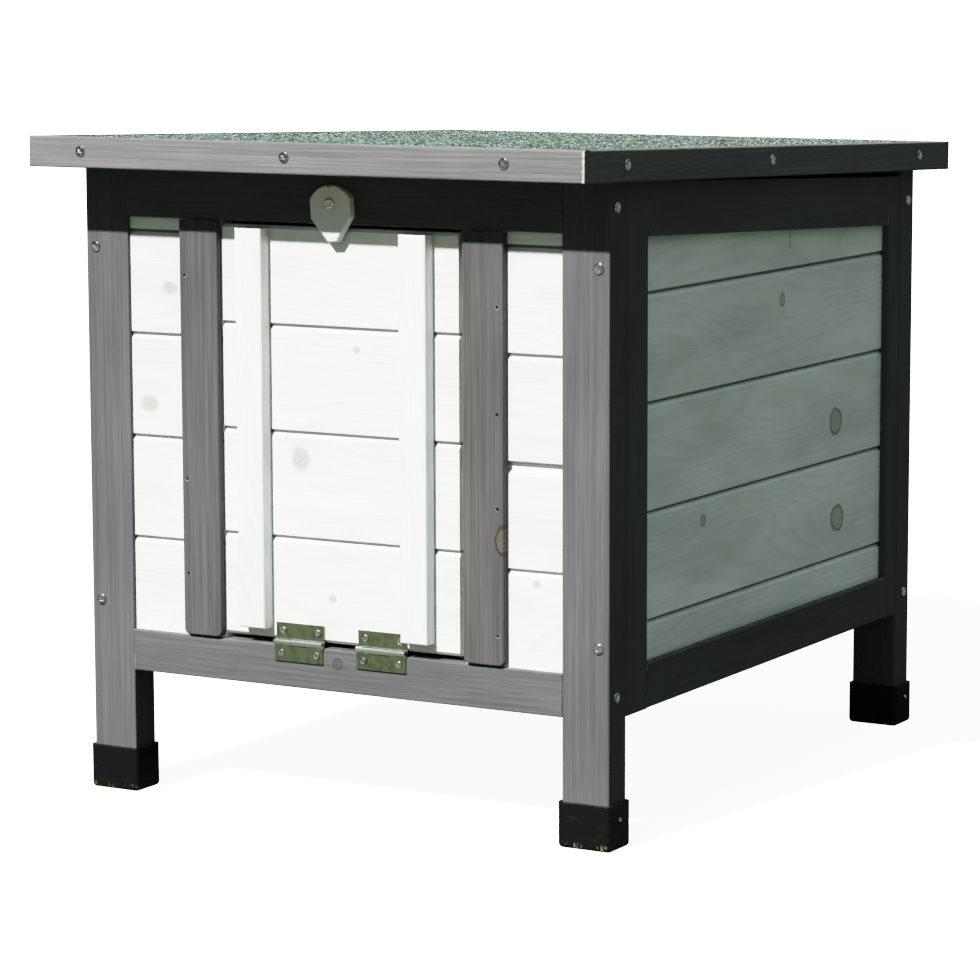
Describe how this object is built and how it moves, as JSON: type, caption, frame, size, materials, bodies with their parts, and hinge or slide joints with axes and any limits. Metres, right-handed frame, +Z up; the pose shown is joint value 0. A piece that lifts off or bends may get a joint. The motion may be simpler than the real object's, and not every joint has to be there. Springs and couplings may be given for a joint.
{
  "type": "small animal hutch",
  "caption": "Small painted wooden hutch on four capped legs, with a drop-down front door held by a turn button and a lift-up felted roof that slopes to the rear.",
  "frame": {"origin": "on the floor, under the middle of the whole hutch", "axes": "+Z up, the door faces -Y, +X is the hutch's right side seen from the front"},
  "size_m": [0.42, 0.5708, 0.4494],
  "materials": {
    "grey_paint": "dark grey water-based paint, worn thin on the edges",
    "white_paint": "thin white paint with the grain and knots showing through",
    "bare_wood": "unpainted softwood and plywood",
    "green_felt": "bitumen roofing felt with green mineral granules",
    "black_plastic": "matte black moulded plastic",
    "zinc": "bright zinc plated steel",
    "nail_steel": "dark steel pins"
  },
  "bodies": {
    "hutch": {"door_hinge_lower_leaves": "zinc", "door_hinge_lower_screws": "zinc", "door_hinge_pins": "zinc", "floor_panel": "bare_wood", "foot_cap_tacks": "zinc", "frame_screws": "zinc", "front_bottom_rail": "grey_paint", "front_floor_cleat": "bare_wood", "front_left_boards": "white_paint", "front_left_foot_cap": "black_plastic", "front_left_leg": "grey_paint", "front_right_boards": "white_paint", "front_right_foot_cap": "black_plastic", "front_right_leg": "grey_paint", "front_top_rail": "grey_paint", "left_floor_cleat": "bare_wood", "left_jamb_batten": "bare_wood", "left_side_boards": "white_paint", "left_side_bottom_rail": "grey_paint", "left_side_front_stile": "grey_paint", "left_side_rear_stile": "grey_paint", "left_side_top_rail": "grey_paint", "left_slat": "grey_paint", "rear_boards": "white_paint", "rear_bottom_rail": "grey_paint", "rear_floor_cleat": "bare_wood", "rear_left_foot_cap": "black_plastic", "rear_left_leg": "grey_paint", "rear_right_foot_cap": "black_plastic", "rear_right_leg": "grey_paint", "rear_top_rail": "grey_paint", "right_floor_cleat": "bare_wood", "right_jamb_batten": "bare_wood", "right_side_boards": "white_paint", "right_side_bottom_rail": "grey_paint", "right_side_front_stile": "grey_paint", "right_side_rear_stile": "grey_paint", "right_side_top_rail": "grey_paint", "right_slat": "grey_paint", "roof_hinge_frame_leaves": "zinc", "roof_hinge_frame_screws": "zinc", "roof_hinge_pins": "zinc", "slat_pins": "nail_steel", "turn_button_screw": "zinc"},
    "door": {"door_boards": "white_paint", "door_hinge_upper_leaves": "zinc", "door_hinge_upper_screws": "zinc", "left_door_batten": "white_paint", "right_door_batten": "white_paint"},
    "roof": {"deck_battens": "bare_wood", "fascia_screws": "zinc", "front_fascia": "grey_paint", "left_fascia": "grey_paint", "rear_fascia": "grey_paint", "right_fascia": "grey_paint", "roof_deck": "bare_wood", "roof_felt": "green_felt", "roof_hinge_roof_leaves": "zinc", "roof_hinge_roof_screws": "zinc"},
    "button": {"turn_button": "white_paint"}
  },
  "joints": [
    {"name": "door_swing", "type": "hinge", "parent": "hutch", "child": "door", "pos_m": [0, -0.2345, 0.115], "axis": [1, 0, 0], "range_deg": [0, 113]},
    {"name": "roof_lift", "type": "hinge", "parent": "hutch", "child": "roof", "pos_m": [0, 0.2429, 0.40782], "axis": [-1, 0, 0], "range_deg": [0, 90]},
    {"name": "latch_turn", "type": "hinge", "parent": "hutch", "child": "button", "pos_m": [-0.002, -0.2335, 0.4078], "axis": [0, -1, 0], "range_deg": [-125, 125]}
  ]
}
